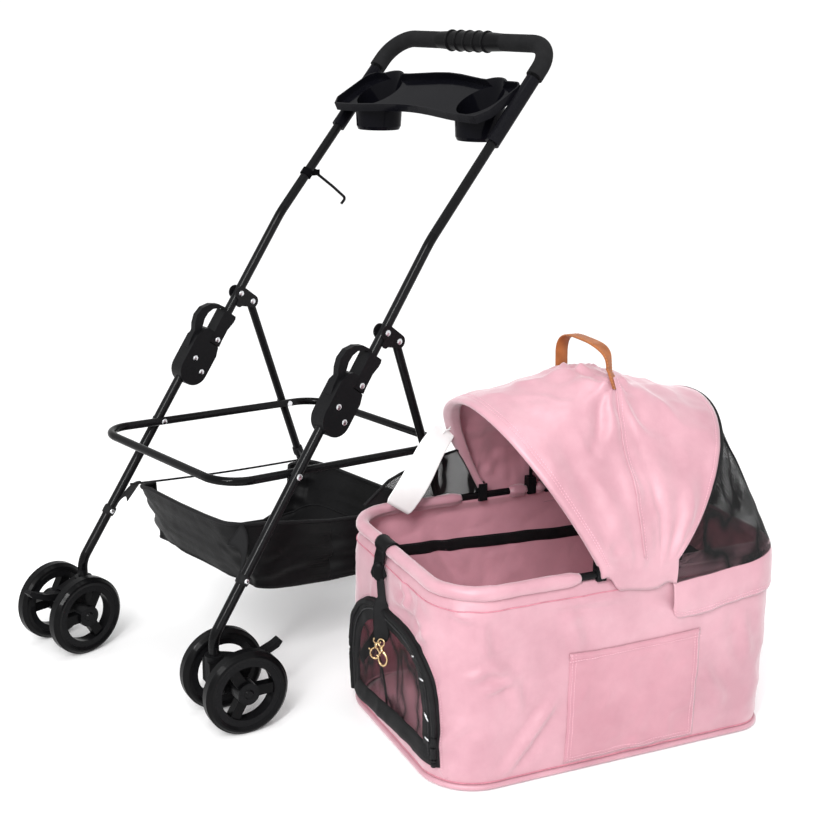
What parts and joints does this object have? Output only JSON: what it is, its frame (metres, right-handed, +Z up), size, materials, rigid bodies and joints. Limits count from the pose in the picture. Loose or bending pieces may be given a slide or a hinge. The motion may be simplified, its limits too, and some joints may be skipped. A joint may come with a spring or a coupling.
{
  "type": "pet stroller",
  "caption": "Folding pet stroller: tube chassis with paired castors, cup tray, carrier ring and basket, beside its lift-off soft pet carrier with folding hood.",
  "frame": {"origin": "on the floor in the chassis' middle plane, at the floor datum mount", "axes": "+X to the chassis' left, where the carrier stands; -Y to the front castors; +Z up"},
  "size_m": [0.9739, 0.8327, 0.9947],
  "materials": {
    "frame_black": "gloss",
    "plastic_black": "satin",
    "rivet_steel": "polished",
    "foam_black": "matt",
    "wheel_black": "satin",
    "cloth_black": "matt",
    "cloth_pink": "matt",
    "mesh_black": "open mesh",
    "leather_tan": "satin",
    "brass": "polished",
    "board_grey": "matt",
    "tag_white": "matt"
  },
  "bodies": {
    "chassis": {"lower_pole_left": "frame_black", "lower_pole_right": "frame_black", "fold_housing_left": "plastic_black", "fold_housing_right": "plastic_black", "housing_rivets": "rivet_steel", "storage_basket": "cloth_black"},
    "latch_left": {"latch_left": "plastic_black"},
    "latch_right": {"latch_right": "plastic_black"},
    "upper_frame": {"handle_tube": "frame_black", "hinge_block_left": "plastic_black", "hinge_block_right": "plastic_black", "foam_grips": "foam_black", "centre_grip": "plastic_black", "parent_tray": "plastic_black", "handle_fasteners": "rivet_steel", "leg_bracket_left": "frame_black", "leg_bracket_right": "frame_black"},
    "fold_hook": {"fold_hook": "frame_black"},
    "ring": {"carrier_ring": "frame_black", "ring_rivets": "rivet_steel"},
    "rear_legs": {"rear_leg_left": "frame_black", "rear_leg_right": "frame_black", "rear_cross_tube": "frame_black", "rear_housing_left": "plastic_black", "rear_housing_right": "plastic_black", "rear_axles": "rivet_steel"},
    "brake_left": {"brake_left": "plastic_black"},
    "brake_right": {"brake_right": "plastic_black"},
    "castor_left": {"castor_left": "plastic_black", "castor_axle_left": "rivet_steel"},
    "castor_right": {"castor_right": "plastic_black", "castor_axle_right": "rivet_steel"},
    "castor_lock_left": {"castor_lock_left": "plastic_black"},
    "castor_lock_right": {"castor_lock_right": "plastic_black"},
    "front_wheel_left_outer": {"front_wheel_left_outer": "wheel_black"},
    "front_wheel_left_inner": {"front_wheel_left_inner": "wheel_black"},
    "front_wheel_right_outer": {"front_wheel_right_outer": "wheel_black"},
    "front_wheel_right_inner": {"front_wheel_right_inner": "wheel_black"},
    "rear_wheel_left_outer": {"rear_wheel_left_outer": "wheel_black"},
    "rear_wheel_left_inner": {"rear_wheel_left_inner": "wheel_black"},
    "rear_wheel_right_outer": {"rear_wheel_right_outer": "wheel_black"},
    "rear_wheel_right_inner": {"rear_wheel_right_inner": "wheel_black"},
    "carrier": {"carrier_body": "cloth_pink", "base_board": "board_grey", "cushion": "cloth_pink", "rim_tube": "frame_black", "rim_sleeve": "cloth_pink", "door": "cloth_black", "side_pocket": "cloth_pink", "rear_flap": "cloth_pink", "webbing": "cloth_black", "snap_hooks": "brass", "bow_hinges": "plastic_black", "hood_frame": "frame_black", "hood_front": "cloth_pink", "hood_rear": "cloth_pink", "mesh_panels": "mesh_black", "carry_handle": "leather_tan", "hang_tag": "tag_white"},
    "front_bow": {"front_bow": "frame_black"}
  },
  "joints": [
    {"name": "handle_fold", "type": "hinge", "parent": "chassis", "child": "upper_frame", "pos_m": [0, -0.14203, 0.42792], "axis": [-1, 0, 0], "range_deg": [0, 135], "deforming": ["storage_basket"]},
    {"name": "ring_fold", "type": "hinge", "parent": "chassis", "child": "ring", "pos_m": [0, -0.22229, 0.35609], "axis": [-1, 0, 0], "range_deg": [0, 94]},
    {"name": "leg_fold", "type": "hinge", "parent": "upper_frame", "child": "rear_legs", "pos_m": [0, -0.02995, 0.53603], "axis": [1, 0, 0], "range_deg": [0, 85]},
    {"name": "latch_left_slide", "type": "slide", "parent": "chassis", "child": "latch_left", "axis": [0, 0.5779, 0.8161], "range_m": [0, 0.008], "stiffness_N_per_m": 400},
    {"name": "latch_right_slide", "type": "slide", "parent": "chassis", "child": "latch_right", "axis": [0, 0.5779, 0.8161], "range_m": [0, 0.008], "stiffness_N_per_m": 400},
    {"name": "fold_hook_hinge", "type": "hinge", "parent": "upper_frame", "child": "fold_hook", "pos_m": [-0.195, 0.11603, 0.748], "axis": [1, 0, 0], "range_deg": [-30, 60]},
    {"name": "castor_left_swivel", "type": "hinge", "parent": "chassis", "child": "castor_left", "pos_m": [0.195, -0.376, 0], "axis": [0, 0, 1], "continuous": true},
    {"name": "castor_lock_left_hinge", "type": "hinge", "parent": "castor_left", "child": "castor_lock_left", "pos_m": [0.20416, -0.32888, 0.09], "axis": [-0.9816, 0.1908, 0], "range_deg": [0, 18]},
    {"name": "front_wheel_left_outer_spin", "type": "hinge", "parent": "castor_left", "child": "front_wheel_left_outer", "pos_m": [0.2449, -0.35514, 0.065], "axis": [-0.9816, 0.1908, 0], "continuous": true},
    {"name": "rear_wheel_left_outer_spin", "type": "hinge", "parent": "rear_legs", "child": "rear_wheel_left_outer", "pos_m": [0.24, 0.134, 0.065], "axis": [1, 0, 0], "continuous": true},
    {"name": "front_wheel_left_inner_spin", "type": "hinge", "parent": "castor_left", "child": "front_wheel_left_inner", "pos_m": [0.15655, -0.33797, 0.065], "axis": [-0.9816, 0.1908, 0], "continuous": true},
    {"name": "rear_wheel_left_inner_spin", "type": "hinge", "parent": "rear_legs", "child": "rear_wheel_left_inner", "pos_m": [0.15, 0.134, 0.065], "axis": [1, 0, 0], "continuous": true},
    {"name": "brake_left_hinge", "type": "hinge", "parent": "rear_legs", "child": "brake_left", "pos_m": [0.195, 0.158, 0.083], "axis": [-1, 0, 0], "range_deg": [0, 12]},
    {"name": "castor_right_swivel", "type": "hinge", "parent": "chassis", "child": "castor_right", "pos_m": [-0.195, -0.376, 0], "axis": [0, 0, 1], "continuous": true},
    {"name": "castor_lock_right_hinge", "type": "hinge", "parent": "castor_right", "child": "castor_lock_right", "pos_m": [-0.18998, -0.42374, 0.09], "axis": [0.9945, 0.1045, 0], "range_deg": [0, 18]},
    {"name": "front_wheel_right_outer_spin", "type": "hinge", "parent": "castor_right", "child": "front_wheel_right_outer", "pos_m": [-0.23662, -0.41054, 0.065], "axis": [0.9945, 0.1045, 0], "continuous": true},
    {"name": "rear_wheel_right_outer_spin", "type": "hinge", "parent": "rear_legs", "child": "rear_wheel_right_outer", "pos_m": [-0.24, 0.134, 0.065], "axis": [1, 0, 0], "continuous": true},
    {"name": "front_wheel_right_inner_spin", "type": "hinge", "parent": "castor_right", "child": "front_wheel_right_inner", "pos_m": [-0.14711, -0.40113, 0.065], "axis": [0.9945, 0.1045, 0], "continuous": true},
    {"name": "rear_wheel_right_inner_spin", "type": "hinge", "parent": "rear_legs", "child": "rear_wheel_right_inner", "pos_m": [-0.15, 0.134, 0.065], "axis": [1, 0, 0], "continuous": true},
    {"name": "brake_right_hinge", "type": "hinge", "parent": "rear_legs", "child": "brake_right", "pos_m": [-0.195, 0.158, 0.083], "axis": [-1, 0, 0], "range_deg": [0, 12]},
    {"name": "carrier_lift", "type": "slide", "parent": "chassis", "child": "carrier", "axis": [0, 0, 1], "range_m": [0, 0.4]},
    {"name": "hood_front_fold", "type": "hinge", "parent": "carrier", "child": "front_bow", "pos_m": [0.46554, 0.01538, 0.304], "axis": [-0.9578, 0.2874, 0], "range_deg": [0, 42], "deforming": ["hood_front"]}
  ],
  "couplings": [
    {"joint": "ring_fold", "follows": "handle_fold", "ratio": 0.6937},
    {"joint": "leg_fold", "follows": "handle_fold", "ratio": 0.6232}
  ]
}
